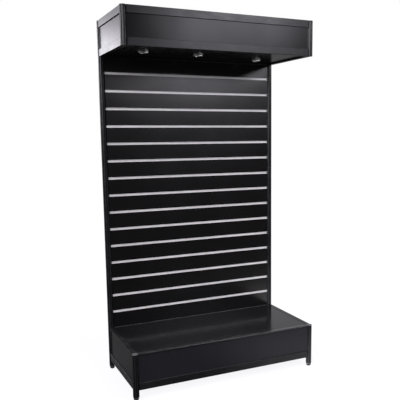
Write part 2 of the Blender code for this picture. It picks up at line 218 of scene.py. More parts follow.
def axes_place(origin, x, y, z):
    """Matrix that takes local X, Y and Z to the given directions at the given origin."""
    turn = Matrix((Vector(x), Vector(y), Vector(z))).transposed().to_4x4()
    return Matrix.Translation(Vector(origin)) @ turn


# ------------------------------------------------------------------- materials


class Nodes:
    """Short names for building one material's node tree."""

    def __init__(self, name):
        self.mat = bpy.data.materials.new(name)
        self.mat.use_nodes = True
        self.tree = self.mat.node_tree
        self.shader = self.tree.nodes["Principled BSDF"]
        self.coords = self.add("TexCoord").outputs["Object"]

    def add(self, kind, **settings):
        node = self.tree.nodes.new("ShaderNode" + kind)
        for key, value in settings.items():
            setattr(node, key, value)
        return node

    def link(self, source, target):
        self.tree.links.new(source, target)

    def set(self, **values):
        for key, value in values.items():
            self.shader.inputs[key.replace("_", " ")].default_value = value

    def noise(self, scale, detail=3.0, roughness=0.55, stretch=(1, 1, 1)):
        mapping = self.add("Mapping")
        mapping.inputs["Scale"].default_value = stretch
        self.link(self.coords, mapping.inputs["Vector"])
        node = self.add("TexNoise")
        node.inputs["Scale"].default_value = scale
        node.inputs["Detail"].default_value = detail
        node.inputs["Roughness"].default_value = roughness
        self.link(mapping.outputs["Vector"], node.inputs["Vector"])
        return node.outputs["Fac"]

    def span(self, value, low, high, from_low=0.3, from_high=0.7):
        """Maps a 0 to 1 pattern to a range of values."""
        node = self.add("MapRange")
        node.inputs["From Min"].default_value = from_low
        node.inputs["From Max"].default_value = from_high
        node.inputs["To Min"].default_value = low
        node.inputs["To Max"].default_value = high
        self.link(value, node.inputs["Value"])
        return node.outputs["Result"]

    def math(self, operation, a, b):
        node = self.add("Math", operation=operation)
        for slot, value in zip(node.inputs, (a, b)):
            if isinstance(value, (int, float)):
                slot.default_value = value
            else:
                self.link(value, slot)
        return node.outputs["Value"]

    def mix_colour(self, factor, a, b):
        node = self.add("MixRGB")
        node.inputs["Color1"].default_value = (*a, 1)
        node.inputs["Color2"].default_value = (*b, 1)
        self.link(factor, node.inputs["Fac"])
        return node.outputs["Color"]

    def colour(self, output):
        self.link(output, self.shader.inputs["Base Color"])

    def roughness(self, output):
        self.link(output, self.shader.inputs["Roughness"])

    def bump(self, height, strength, distance):
        node = self.add("Bump")
        node.inputs["Strength"].default_value = strength
        node.inputs["Distance"].default_value = distance
        self.link(height, node.inputs["Height"])
        if self.shader.inputs["Normal"].is_linked:
            earlier = self.shader.inputs["Normal"].links[0].from_socket
            self.link(earlier, node.inputs["Normal"])
        self.link(node.outputs["Normal"], self.shader.inputs["Normal"])

    def edge_mask(self, radius):
        """1 on worn edges, 0 on flat faces, from the difference of rounded and true normals."""
        rounded = self.add("Bevel", samples=4)
        rounded.inputs["Radius"].default_value = radius
        true = self.add("NewGeometry")
        dot = self.add("VectorMath", operation="DOT_PRODUCT")
        self.link(rounded.outputs["Normal"], dot.inputs[0])
        self.link(true.outputs["Normal"], dot.inputs[1])
        return self.span(dot.outputs["Value"], 1.0, 0.0, 0.80, 0.995)


# Stretch of a pattern that runs along one axis: long on that axis, fine on the others.
ALONG = {"x": (0.012, 1, 1), "y": (1, 0.012, 1), "z": (1, 1, 0.012)}


def black_extrusion(name, axis, specular):
    """Satin black anodised extrusion with die lines along it and lightly worn edges."""
    n = Nodes(name)
    lines = n.noise(900, 2, 0.5, ALONG[axis])
    cloud = n.noise(9, 3, 0.6)
    wear = n.math("MULTIPLY", n.edge_mask(0.0006), n.span(n.noise(60, 4, 0.7), 0.0, 0.55, 0.42, 0.75))
    tone = n.math("ADD", n.math("MULTIPLY", cloud, 0.5), n.math("MULTIPLY", wear, 0.8))
    n.colour(n.mix_colour(tone, (0.0030, 0.0029, 0.0034), (0.028, 0.027, 0.030)))
    rough = n.math("ADD", n.span(lines, 0.21, 0.29), n.span(cloud, -0.03, 0.04))
    n.roughness(rough)
    n.set(Specular_IOR_Level=specular)
    n.bump(lines, 0.10, 0.00006)
    return n.mat


def black_foil(name, dark, light):
    """Smooth semi-gloss foil on the infill panels, with a faint film wave."""
    n = Nodes(name)
    wave = n.noise(5, 2, 0.5, (1, 1, 0.35))
    dust = n.noise(2600, 2, 0.6)
    n.set(Specular_IOR_Level=0.10)
    n.colour(n.mix_colour(wave, dark, light))
    n.roughness(n.math("ADD", n.span(wave, 0.17, 0.22), n.span(dust, -0.02, 0.03)))
    n.bump(wave, 0.15, 0.0006)
    n.bump(dust, 0.10, 0.00004)
    return n.mat


def black_laminate(name, grain, light, gloss, specular=0.5):
    """Melamine face: a pearl texture over a soft wave, slightly lighter in the pores."""
    n = Nodes(name)
    n.set(Specular_IOR_Level=specular)
    pearl = n.noise(1500, 3, 0.55, grain)
    wave = n.noise(3.5, 2, 0.5)
    dark = tuple(c * 0.6 for c in light)
    n.colour(n.mix_colour(n.span(pearl, 0.0, 1.0), dark, light))
    n.roughness(n.math("ADD", n.span(pearl, gloss - 0.04, gloss + 0.05), n.span(wave, -0.02, 0.02)))
    n.bump(wave, 0.12, 0.0006)
    n.bump(pearl, 0.16, 0.00008)
    return n.mat


def brushed_aluminium():
    """Mill-finish insert, brushed along X, with small tone changes from length to length."""
    n = Nodes("brushed_aluminium")
    lines = n.noise(1400, 3, 0.6, ALONG["x"])
    patch = n.noise(3.0, 3, 0.6, (1, 1, 8))
    tone = n.math("ADD", n.math("MULTIPLY", lines, 0.5), n.math("MULTIPLY", patch, 0.5))
    n.colour(n.mix_colour(n.span(tone, 0, 1), (0.80, 0.785, 0.78), (0.97, 0.955, 0.95)))
    n.roughness(n.span(lines, 0.40, 0.54))
    n.set(Metallic=0.35, Specular_IOR_Level=0.5)
    n.bump(lines, 0.18, 0.00008)
    return n.mat


def moulded(name, colour, rough, speckle=0.25, scale=900):
    """Moulded plastic or rubber with a fine spark texture."""
    n = Nodes(name)
    spark = n.noise(scale, 4, 0.6)
    cloud = n.noise(25, 3, 0.5)
    dark = tuple(c * (1 - speckle) for c in colour)
    n.colour(n.mix_colour(n.span(cloud, 0, 1), dark, colour))
    n.roughness(n.span(spark, rough - 0.06, rough + 0.08))
    n.bump(spark, 0.2, 0.00008)
    return n.mat


def satin_metal(name, colour, rough, lines_scale=600, stretch=(1, 1, 0.05)):
    """Turned or plated metal with fine marks."""
    n = Nodes(name)
    lines = n.noise(lines_scale, 3, 0.6, stretch)
    smudge = n.noise(45, 3, 0.6)
    dark = tuple(c * 0.82 for c in colour)
    n.colour(n.mix_colour(n.span(smudge, 0, 1), dark, colour))
    n.roughness(n.math("ADD", n.span(lines, rough - 0.05, rough + 0.06), n.span(smudge, -0.02, 0.04)))
    n.set(Metallic=1.0)
    n.bump(lines, 0.12, 0.00004)
    return n.mat


def frosted_lens():
    n = Nodes("frosted_lens")
    cells = n.add("TexVoronoi")
    cells.inputs["Scale"].default_value = 700
    n.link(n.coords, cells.inputs["Vector"])
    n.colour(n.mix_colour(n.span(cells.outputs["Distance"], 0, 1), (0.80, 0.80, 0.76), (0.93, 0.93, 0.90)))
    n.roughness(n.span(cells.outputs["Distance"], 0.12, 0.30))
    n.set(Transmission_Weight=0.25, IOR=1.49)
    n.bump(cells.outputs["Distance"], 0.5, 0.0002)
    return n.mat


MATS = {
    "frame_x": black_extrusion("black_extrusion_x", "x", 0.15),
    "frame_y": black_extrusion("black_extrusion_y", "y", 0.15),
    "frame_z": black_extrusion("black_extrusion_z", "z", 0.40),
    "rail_x": black_extrusion("black_rail_x", "x", 0.60),
    "rail_y": black_extrusion("black_rail_y", "y", 0.15),
    "foil": black_foil("black_foil", (0.0028, 0.0027, 0.0034), (0.0048, 0.0046, 0.0056)),
    # Lighter copy of the black foil for the base's front panel only: painted light for the light that face
    # catches, not a different foil.
    "foil_with_painted_light": black_foil("black_foil_with_painted_light", (0.0105, 0.0103, 0.0122), (0.0160, 0.0156, 0.0184)),
    "board": black_laminate("black_slat_laminate", (1, 1, 0.7), (0.0032, 0.0029, 0.0031), 0.22),
    "deck": black_laminate("black_deck_laminate", (0.8, 1, 1), (0.0038, 0.0040, 0.0046), 0.16, 0.15),
    "soffit": black_laminate("black_soffit_laminate", (0.8, 1, 1), (0.0050, 0.0050, 0.0056), 0.22),
    "insert": brushed_aluminium(),
    "grey_cap": moulded("grey_cap_plastic", (0.10, 0.10, 0.105), 0.42),
    "black_cap": moulded("black_cap_plastic", (0.020, 0.020, 0.022), 0.42),
    "rubber": moulded("black_rubber", (0.018, 0.018, 0.018), 0.68, 0.3, 500),
    "white_case": moulded("white_case_plastic", (0.72, 0.72, 0.69), 0.45, 0.10),
    "cable": moulded("cable_sheath", (0.55, 0.55, 0.53), 0.45, 0.12, 300),
    "chrome": satin_metal("satin_chrome", (0.78, 0.78, 0.78), 0.16),
    "reflector": satin_metal("reflector_metal", (0.92, 0.92, 0.92), 0.08),
    "heatsink": satin_metal("heatsink_metal", (0.45, 0.45, 0.46), 0.38),
    "zinc": satin_metal("zinc_steel", (0.62, 0.62, 0.60), 0.34),
    "spring": satin_metal("spring_steel", (0.50, 0.49, 0.47), 0.28),
    "lens": frosted_lens(),
}


# ----------------------------------------------------------- carried-over nodes


def dress(node, mat, bevel_width=0.0, segments=2):
    """Gives a CAD node its finish and rounded edges."""
    obj = frame["nodes"][node]
    obj.data.materials.clear()
    obj.data.materials.append(MATS[mat])
    if bevel_width:
        add_bevel(obj, bevel_width, segments)


def dress_frame():
    for post in ("upright", "base_post", "header_post"):
        for side in SIDES:
            dress(f"{post}_{side}", "frame_z", 0.3 * MM)
    for ring in RINGS:
        for word in RING_WORDS:
            axis = "x" if word in ("front", "rear") else "y"
            if ring == "base_rail":
                dress(f"{ring}_{word}", f"rail_{axis}", 1.2 * MM, 3)
            else:
                dress(f"{ring}_{word}", f"frame_{axis}", 0.4 * MM)


def dress_boards():
    # The base's front panel takes the lighter copy of the black foil, which is painted light on that face.
    dress("base_panel_front", "foil_with_painted_light", 0.4 * MM)
    panels = ["header_fascia", "header_panel_rear"]
    panels += [f"{place}_panel_{side}" for place in ("base", "header") for side in SIDES]
    for node in panels:
        dress(node, "foil", 0.4 * MM)
    dress("slat_board", "board", 0.35 * MM)
    dress("deck_board", "deck", 0.8 * MM)
    dress("soffit_board", "soffit", 0.4 * MM)
    inserts = [n for n in frame["nodes"] if n.startswith("slat_insert_")]
    for node in inserts:
        dress(node, "insert", 0.3 * MM)


# ------------------------------------------------------------------- post caps


CAP_PLATE = 3.0 * MM
CAP_EDGE = 1.2 * MM
CAP_DOME = 0.35 * MM
CAP_CORNER_ROUND = 0.7 * MM
CAP_PLUG_R = 3.8 * MM
CAP_PLUG_LENGTH = 9 * MM


def octagon_cap(name, centre, across, mat):
    """Domed octagonal plug that sits on the end of a post."""
    corner = across / 2 / math.cos(math.pi / 8)
    rounding = arc(corner - CAP_EDGE, CAP_PLATE - CAP_EDGE, CAP_EDGE, 0, 80, 4)
    profile = [(0, CAP_PLATE + CAP_DOME), (corner * 0.55, CAP_PLATE + 0.2 * MM)]
    profile += list(reversed(rounding))
    profile += [(corner, 0.0), (corner - CAP_EDGE / 2, 0.0), (CAP_PLUG_R, 0.0)]
    profile += [(CAP_PLUG_R, -CAP_PLUG_LENGTH), (0, -CAP_PLUG_LENGTH)]
    bm = revolve(profile, 8, start=math.pi / 8)
    vertical = [e for e in bm.edges if is_corner_edge(e, corner)]
    bmesh.ops.bevel(
        bm, geom=vertical, offset=CAP_CORNER_ROUND, segments=2, affect="EDGES", profile=0.6,
    )
    return new_object(name, bm, mat, Matrix.Translation(centre), 30)


def is_corner_edge(e, corner):
    """True for the edges down the outer corners of an octagonal cap."""
    a, b = (v.co for v in e.verts)
    outer = min(a.xy.length, b.xy.length) > corner - CAP_EDGE * 1.01
    return outer and abs(math.atan2(a.y, a.x) - math.atan2(b.y, b.x)) < 1e-4


def build_caps():
    for post, mat in (("base_post", "grey_cap"), ("upright", "black_cap"), ("header_post", "black_cap")):
        for side in SIDES:
            low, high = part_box(f"{post}_{side}")
            centre = Vector(((low.x + high.x) / 2, (low.y + high.y) / 2, high.z + SEAT_GAP))
            cap = octagon_cap(f"{post}_cap_{side}", centre, high.x - low.x, MATS[mat])
            if post == "base_post":
                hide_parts(f"base_cap_{side}")


# ------------------------------------------------------------------------ feet


SOLE_SHARE = 0.62
SOLE_ROUND = 1.0 * MM
SHOULDER_ROUND = 1.6 * MM
SHOULDER_HEIGHT = 8.6 * MM
COLLAR_R = 9.0 * MM
COLLAR_LOW = 4.3 * MM
COLLAR_HIGH = 0.5 * MM
THREAD_PITCH = 1.25 * MM
THREAD_ROOT_R = 3.4 * MM
THREAD_CREST_R = 3.95 * MM
STUD_TIP_R = 2.8 * MM


def foot_pad_profile(r, post_end):
    """Soft pad: a flat sole, a rounded flank that widens upward, and a shouldered top."""
    sole = r * SOLE_SHARE
    top = post_end - COLLAR_LOW - 0.1 * MM
    return (
        [(0, 0), (sole - SOLE_ROUND, 0)]
        + arc(sole - SOLE_ROUND, SOLE_ROUND, SOLE_ROUND, -90, -35, 3)
        + [(r * 0.80, 3.2 * MM), (r * 0.93, 6.0 * MM)]
        + arc(r - SHOULDER_ROUND, SHOULDER_HEIGHT, SHOULDER_ROUND, -15, 75, 6)
        + [(r * SOLE_SHARE, top), (0, top)]
    )


def build_feet():
    for row in ("front", "rear"):
        for side in SIDES:
            node = f"foot_{row}_{side}"
            low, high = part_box(node)
            base = Vector(((low.x + high.x) / 2, (low.y + high.y) / 2, low.z))
            post = "base_post" if row == "front" else "upright"
            post_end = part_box(f"{post}_{side}")[0].z - low.z
            place = Matrix.Translation(base)
            bm = revolve(foot_pad_profile((high.x - low.x) / 2, post_end), 48)
            pad = new_object(f"foot_pad_{row}_{side}", bm, MATS["rubber"], place, 35, node)
            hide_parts(node)
            bm = foot_stud(post_end, high.z - low.z)
            stud = new_object(f"foot_stud_{row}_{side}", bm, MATS["zinc"], place, 35, node)


def foot_stud(post_end, height):
    """Threaded stud on a hexagonal collar, above the pad."""
    collar_low = post_end - COLLAR_LOW
    collar_high = post_end - COLLAR_HIGH
    collar_place = Matrix.Translation((0, 0, collar_low))
    bm = prism(polygon(COLLAR_R, 6), collar_high - collar_low, place=collar_place)
    root = collar_high - 0.2 * MM
    profile = [(0, root), (THREAD_ROOT_R, root)]
    z = collar_high + 0.4 * MM
    while z < height - THREAD_PITCH:
        profile += [(THREAD_ROOT_R, z), (THREAD_CREST_R, z + THREAD_PITCH * 0.5)]
        z += THREAD_PITCH
    profile += [(THREAD_ROOT_R, z), (STUD_TIP_R, height), (0, height)]
    return revolve(profile, 24, bm=bm)


# ---------------------------------------------------------------------- lamps


MOUTH_R = 6.4 * MM
MOUTH_DEPTH = 5 * MM
NECK_R = 15.0 * MM
NECK_STEP = 0.8 * MM
FIN_COUNT = 18
FIN_ROOT_R = 9.5 * MM
FIN_TIP_R = 14.6 * MM
SINK_LOW = 17 * MM
SINK_LID_R = 8.5 * MM
SINK_LID_HEIGHT = 1.6 * MM
# (radius, height) from the ball's centre, in millimetres.
REFLECTOR_PROFILE = ((6.6, -5.4), (14.4, -11.5), (14.7, -11.3), (6.9, -5.2))
LENS_PROFILE = ((0, -9.4), (9.4, -9.1), (10.2, -8.6), (10.2, -8.2), (0, -8.2))


def ball_profile(radius, face_drop):
    """Eyeball: a conical mouth below, the ball's skin, and a flat neck above."""
    face_r = math.sqrt(radius ** 2 - face_drop ** 2)
    low = -math.degrees(math.asin(face_drop / radius))
    high = math.degrees(math.acos(NECK_R / radius))
    neck_z = radius * math.sin(math.radians(high)) + NECK_STEP
    mouth = [(0, -MOUTH_DEPTH), (MOUTH_R, -MOUTH_DEPTH), (face_r - 1.9 * MM, -face_drop + 0.8 * MM)]
    rim = [(face_r - 1.3 * MM, -face_drop - 0.2 * MM), (face_r - 0.5 * MM, -face_drop - 0.1 * MM)]
    skin = arc(0, 0, radius, low + 1.5, high, 22)
    return mouth + rim + skin + [(NECK_R - 1 * MM, neck_z), (0, neck_z)]


def heatsink(low, high):
    """Radial fins around a core, under a round lid."""
    outline = []
    for k in range(FIN_COUNT):
        sides = ((FIN_ROOT_R, -0.30), (FIN_TIP_R, -0.24), (FIN_TIP_R, 0.24), (FIN_ROOT_R, 0.30))
        for r, turn in sides:
            a = math.tau * (k + turn) / FIN_COUNT
            outline.append((r * math.cos(a), r * math.sin(a)))
    bm = prism(outline, high - low, place=Matrix.Translation((0, 0, low)))
    base = high - 0.1 * MM
    shoulder = high + 1.0 * MM
    lid_top = high + SINK_LID_HEIGHT
    lid = [(0, base), (SINK_LID_R, base), (SINK_LID_R, shoulder)]
    lid += [(SINK_LID_R - 0.8 * MM, lid_top), (0, lid_top)]
    return revolve(lid, 24, bm=bm)


def in_metres(profile):
    return [(r * MM, z * MM) for r, z in profile]


def lamp_joint(i):
    return next(j for j in frame["joints"] if j["name"] == f"downlight_lamp_{i}_tilt")


def build_lamp(i):
    joint = lamp_joint(i)
    body = joint["child"]
    low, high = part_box(body)
    centre = Vector(joint["pos_m"])
    radius = (high.x - low.x) / 2
    top = high.z - centre.z - 1.8 * MM
    parts = {
        "ball": (revolve(ball_profile(radius, centre.z - low.z), 48), "chrome"),
        "reflector": (revolve(in_metres(REFLECTOR_PROFILE), 36, True), "reflector"),
        "lens": (revolve(in_metres(LENS_PROFILE), 36), "lens"),
        "heatsink": (heatsink(SINK_LOW, top), "heatsink"),
    }
    for word, (bm, mat) in parts.items():
        place = Matrix.Translation(centre)
        piece = new_object(f"lamp_{word}_{i}", bm, MATS[mat], place, 30, body)
        if word == "ball":
            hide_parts(body)
    return centre + Vector((0, 0, top + SINK_LID_HEIGHT)), body


CROWN_WIDTH = 8 * MM
CROWN_STEPS = 18
BEZEL_LIP = 0.7 * MM
SLEEVE_WALL = 2 * MM
BALL_CLEARANCE = 0.4 * MM
CLIP_WIDTH = 7.0 * MM
CLIP_THICKNESS = 0.5 * MM
# (radius, height) from the ring's seat, in millimetres.
CLIP_PATH = ((24.3, 14.2), (25.4, 15.4), (28.5, 15.7), (33.5, 13.4), (36.5, 12.6), (38.5, 13.6))


def bezel_profile(low, high, outer, socket, rise):
    """Ring: a rounded crown under the soffit, a socket for the ball and a sleeve in the hole."""
    throat = math.sqrt(socket ** 2 - (rise - low) ** 2)
    sleeve = socket + SLEEVE_WALL
    crown = []
    for k in range(CROWN_STEPS + 1):
        a = math.pi / 2 * k / CROWN_STEPS
        r = outer - CROWN_WIDTH * (1 - math.cos(a))
        crown.append((r, -SEAT_GAP + (low + SEAT_GAP) * math.sin(a)))
    rolled = arc(throat + BEZEL_LIP, low + BEZEL_LIP, BEZEL_LIP, 270, 200, 4)
    first = math.degrees(math.asin((low - rise) / socket))
    seat = arc(0, rise, socket, first + 2.5, 0, 12)
    return crown + rolled + seat + [(socket, high), (sleeve, high), (sleeve, -SEAT_GAP)]


def clip_strip(bm, angle, place):
    """One spring clip: a bent strip from the sleeve's top down to the soffit board."""
    half = CLIP_WIDTH / 2
    section = ((-half, 0), (half, 0), (half, CLIP_THICKNESS), (-half, CLIP_THICKNESS))
    turn = place @ Matrix.Rotation(angle, 4, "Z")
    rings = []
    for r, z in in_metres(CLIP_PATH):
        rings.append([bm.verts.new(turn @ Vector((r, y, z + h))) for y, h in section])
    for a, b in zip(rings, rings[1:]):
        for k in range(4):
            bm.faces.new((a[k], a[(k + 1) % 4], b[(k + 1) % 4], b[k]))
    bm.faces.new(rings[0])
    bm.faces.new(rings[-1])


def build_bezel(i):
    node = f"downlight_bezel_{i}"
    low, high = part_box(node)
    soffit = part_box("soffit_board")[0].z
    centre = Vector(((low.x + high.x) / 2, (low.y + high.y) / 2, soffit))
    outer = (high.x - low.x) / 2
    joint = lamp_joint(i)
    ball_low, ball_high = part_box(joint["child"])
    socket = (ball_high.x - ball_low.x) / 2 + BALL_CLEARANCE
    rise = joint["pos_m"][2] - soffit
    profile = bezel_profile(low.z - soffit, high.z - soffit, outer, socket, rise)
    place = Matrix.Translation(centre)
    ring = new_object(f"bezel_ring_{i}", revolve(profile, 64, True), MATS["chrome"], place, 30)
    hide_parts(node)
    bm = bmesh.new()
    for angle in (0.0, math.pi):
        clip_strip(bm, angle, place)
    new_object(f"bezel_clips_{i}", bm, MATS["spring"], smooth_angle=50)


# --------------------------------------------------------------- power supply


DRIVER_END = 14 * MM
DRIVER_OVERLAP = 2 * MM
DRIVER_RIBS = 7
RIB_PITCH = 16 * MM
RIB_WIDTH = 3 * MM
TAB_REACH = 9 * MM
TAB_HOLE_R = 2.2 * MM
TAB_THICKNESS = 2 * MM
TAB_FROM_END = 12 * MM
CASE_SCREW_R = 3.6 * MM


def build_driver():
    """Power supply: a ribbed case, two end covers and four screwed tabs."""
    low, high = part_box("led_driver")
    mid = (low + high) / 2
    half = (high.y - low.y) / 2 - TAB_REACH
    height = high.z - low.z
    length = high.x - low.x
    along_x = axes_place((low.x, mid.y, low.z), (0, 1, 0), (0, 0, 1), (1, 0, 0))

    def section(inset, bottom, top, r, start, depth, bm):
        side = half - inset
        outline = rounded_rectangle(-side, bottom, side, height - top, r)
        return prism(outline, depth, bm=bm, place=along_x @ Matrix.Translation((0, 0, start)))

    start = DRIVER_END - DRIVER_OVERLAP
    bm = section(0.6 * MM, 0.2 * MM, 0.8 * MM, 4 * MM, start, length - 2 * start, None)
    for k in range(DRIVER_RIBS):
        rib_start = DRIVER_END + 14 * MM + k * RIB_PITCH
        section(0.1 * MM, 0.1 * MM, 0.4 * MM, 4 * MM, rib_start, RIB_WIDTH, bm)
    case = new_object("driver_case", bm, MATS["white_case"], smooth_angle=35)
    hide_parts("led_driver")
    bm = bmesh.new()
    for start in (0.0, length - DRIVER_END):
        section(0.0, 0.0, 0.0, 4.5 * MM, start, DRIVER_END, bm)
    ends = new_object("driver_end_covers", bm, MATS["white_case"], smooth_angle=35)
    add_bevel(ends, 0.8 * MM)
    tab_bm = bmesh.new()
    screw_bm = bmesh.new()
    tab = rounded_rectangle(-7 * MM, -5 * MM, 7 * MM, 5 * MM, 3 * MM)
    hole = polygon(TAB_HOLE_R, 16)
    for y in (mid.y - half - 4.2 * MM, mid.y + half + 4.2 * MM):
        for x in (low.x + TAB_FROM_END, high.x - TAB_FROM_END):
            prism(tab, TAB_THICKNESS, [hole], tab_bm, Matrix.Translation((x, y, low.z)))
            pan_screw(screw_bm, Matrix.Translation((x, y, low.z + TAB_THICKNESS)), CASE_SCREW_R)
    tabs = new_object("driver_tabs", tab_bm, MATS["white_case"], smooth_angle=35)
    screws = new_object("driver_screws", screw_bm, MATS["zinc"], smooth_angle=30)


def pan_screw(bm, place, r):
    """Pan head with a cross-shaped recess, standing along local +Z."""
    height = r * 0.62
    rise = [(r, 0.0), (r, height * 0.35), (r * 0.88, height * 0.72), (r * 0.62, height * 0.95)]
    bar = r * 0.13
    reach = r * 0.48
    cross = [
        (reach, -bar), (reach, bar), (bar, bar), (bar, reach), (-bar, reach), (-bar, bar),
        (-reach, bar), (-reach, -bar), (-bar, -bar), (-bar, -reach), (bar, -reach), (bar, -bar),
    ]
    cup = [(r * 0.56, height), (r * 0.56, height * 0.3), (0, height * 0.3)]
    revolve([(0, 0.0)] + rise + cup, 24, bm=bm, place=place)
    lift = place @ Matrix.Translation((0, 0, height * 0.32))
    prism(polygon(r * 0.55, 24), height * 0.66, [cross], bm, lift)


# ---------------------------------------------------------------------- wiring


LEAD_R = 1.7 * MM
SUPPLY_LEAD_R = 1.5 * LEAD_R


def build_cables(tops):
    """A thin lead from the power supply to each lamp, and one to the inlet in the rear panel."""
    low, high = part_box("led_driver")
    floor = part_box("soffit_board")[1].z
    lying = floor + LEAD_R + 0.5 * MM
    for i, (top, body) in tops.items():
        side = -1 if top.x < low.x else 1
        start_x = low.x if side < 0 else high.x
        lane = high.y - (14 + 5 * i) * MM
        start = Vector((start_x - side * 3 * MM, lane, floor + 9 * MM))
        out = Vector((start_x + side * 14 * MM, lane - 4 * MM, floor + 4 * MM))
        bow = max(lane - 38 * MM - 6 * i * MM, top.y + 38 * MM)
        turn = Vector((top.x + (start_x - top.x) * 0.45, bow, lying))
        near = Vector((top.x - side * 26 * MM, top.y + 50 * MM, lying))
        rise = Vector((top.x - side * 4 * MM, top.y + 30 * MM, floor + 24 * MM))
        over = Vector((top.x, top.y + 9 * MM, top.z + 9 * MM))
        path = [start, out, turn, near, rise, over, top + Vector((0, 0, -0.5 * MM))]
        bm = tube(path, LEAD_R)
        cable = new_object(f"lamp_cable_{i}", bm, MATS["cable"], body=None, smooth_angle=60)
        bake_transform(cable)
    build_inlet(high, floor)


INLET_RIM = 3 * MM
PIN_R = 1.3 * MM
PIN_LENGTH = 3.6 * MM
PIN_FROM_MIDDLE = 4.5 * MM
INLET_SCREW_R = 2.4 * MM
INLET_SCREW_FROM_MIDDLE = 15.5 * MM


def build_inlet(driver_high, floor):
    """Supply socket in the header's rear panel and its lead."""
    panel_low, panel_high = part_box("header_panel_rear")
    back = panel_high.y
    centre = Vector((driver_high.x + 90 * MM, back, (panel_low.z + panel_high.z) / 2 - 12 * MM))
    place = axes_place(centre, (-1, 0, 0), (0, 0, 1), (0, 1, 0))

    def at(x, out):
        return place @ Matrix.Translation((x, 0, out))

    shell = rounded_rectangle(-19 * MM, -12 * MM, 19 * MM, 12 * MM, 3 * MM)
    mouth = rounded_rectangle(-12 * MM, -8 * MM, 12 * MM, 8 * MM, 3.5 * MM)
    bm = prism(shell, INLET_RIM, [mouth], place=at(0, 0.2 * MM))
    prism(mouth, 1.0 * MM, bm=bm, place=at(0, 0.1 * MM))
    inlet = new_object("supply_inlet", bm, MATS["black_cap"], smooth_angle=35)
    bm = bmesh.new()
    for x in (-PIN_FROM_MIDDLE, PIN_FROM_MIDDLE):
        prism(polygon(PIN_R, 16), PIN_LENGTH, bm=bm, place=at(x, 0.9 * MM))
    for x in (-INLET_SCREW_FROM_MIDDLE, INLET_SCREW_FROM_MIDDLE):
        pan_screw(bm, at(x, INLET_RIM + 0.2 * MM), INLET_SCREW_R)
    pins = new_object("supply_pins_and_screws", bm, MATS["zinc"], smooth_angle=35)
    inside = centre + Vector((0, -(panel_high.y - panel_low.y) - 0.5 * MM, 0))
    start = Vector((driver_high.x - 3 * MM, driver_high.y - 30 * MM, floor + 16 * MM))
    path = [
        start,
        start + Vector((18 * MM, 2 * MM, -6 * MM)),
        Vector((start.x + 46 * MM, start.y + 30 * MM, floor + LEAD_R * 1.6)),
        Vector((centre.x, inside.y - 40 * MM, floor + 22 * MM)),
        Vector((centre.x, inside.y - 14 * MM, centre.z)),
        inside,
    ]
    bm = tube(path, SUPPLY_LEAD_R)
    lead = new_object("supply_lead", bm, MATS["black_cap"], smooth_angle=60)


# ------------------------------------------------------------------- fasteners


LOCK_INSET = 24 * MM
LOCK_LIFT_OVER_SOFFIT = 9 * MM
LOCK_HEAD_R = 4.6 * MM
LOCK_HEAD_HEIGHT = 1.4 * MM
LOCK_SOCKET_R = 2.3 * MM
LOCK_FLOOR_R = 2.8 * MM


def build_lock_screws():
    """Hex-socket lock screws near both ends of each beam, on its inner face."""
    for ring in ("base_beam", "header_lower_beam", "header_upper_beam"):
        for word in RING_WORDS:
            low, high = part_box(f"{ring}_{word}")
            mid = (low + high) / 2
            z = mid.z + (LOCK_LIFT_OVER_SOFFIT if ring == "header_lower_beam" else 0.0)
            bm = bmesh.new()
            for end in (0, 1):
                if word in ("front", "rear"):
                    face_y, out = (high.y, 1) if word == "front" else (low.y, -1)
                    x = low.x + LOCK_INSET if end == 0 else high.x - LOCK_INSET
                    place = axes_place((x, face_y, z), (out, 0, 0), (0, 0, -1), (0, out, 0))
                else:
                    face_x, out = (low.x, -1) if word == "right" else (high.x, 1)
                    y = low.y + LOCK_INSET if end == 0 else high.y - LOCK_INSET
                    place = axes_place((face_x, y, z), (0, out, 0), (0, 0, 1), (out, 0, 0))
                lock_screw(bm, place)
            screws = new_object(f"{ring}_locks_{word}", bm, MATS["zinc"], smooth_angle=30)


def lock_screw(bm, place):
    lift = place @ Matrix.Translation((0, 0, 0.1 * MM))
    prism(polygon(LOCK_HEAD_R, 28), LOCK_HEAD_HEIGHT, [polygon(LOCK_SOCKET_R, 6)], bm, lift)
    prism(polygon(LOCK_FLOOR_R, 6), 0.4 * MM, bm=bm, place=place)


STRAP_ROWS = 5
STRAP_MARGIN = 90 * MM
STRAP_HEIGHT = 36 * MM
STRAP_THICKNESS = 2 * MM
STRAP_ON_BOARD = 26 * MM
STRAP_ON_POST = 11 * MM
STRAP_SCREW_R = 3.6 * MM


def strap_outline(start, edge, post_x, step):
    """Plan of a cranked strap: flat on the board, a step at the post's edge, flat on the post."""
    lower = [(start, 0), (edge - 3 * MM, 0), (edge + 3 * MM, step), (post_x + STRAP_ON_POST, step)]
    upper = [(x, y + STRAP_THICKNESS) for x, y in reversed(lower)]
    upper[1:3] = [
        (edge + 2.2 * MM, step + STRAP_THICKNESS),
        (edge - 3.8 * MM, STRAP_THICKNESS),
    ]
    return lower + upper


